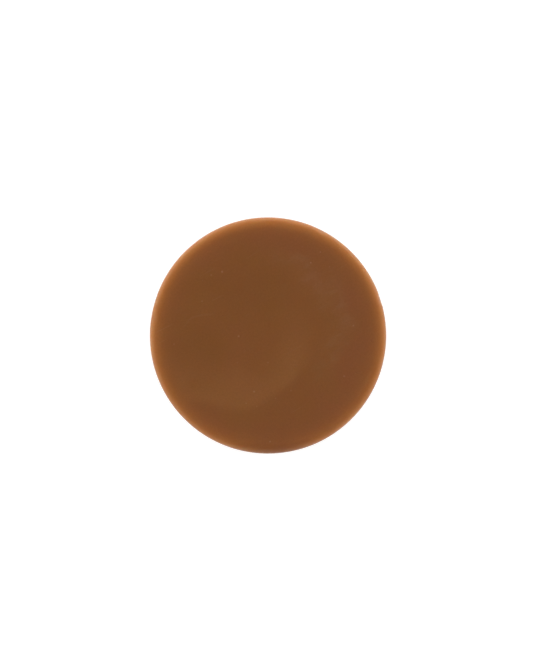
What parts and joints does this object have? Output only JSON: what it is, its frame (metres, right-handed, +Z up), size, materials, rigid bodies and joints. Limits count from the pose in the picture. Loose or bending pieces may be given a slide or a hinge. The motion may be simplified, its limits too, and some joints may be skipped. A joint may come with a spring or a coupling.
{
  "type": "shaving soap puck",
  "caption": "Low round puck of translucent brown glycerine shaving soap with a flat face, softly rounded edges and a flat resting ring underneath.",
  "frame": {"origin": "centre of the flat resting ring, on the surface the puck stands on", "axes": "+Z up along the puck's axis, from the poured side to the moulded face; +X and +Y lie in the resting plane and are interchangeable, because the puck is round"},
  "size_m": [0.06, 0.06, 0.022],
  "materials": {
    "glycerine_soap": "satin"
  },
  "bodies": {
    "root": {"soap_puck": "glycerine_soap"}
  },
  "joints": []
}
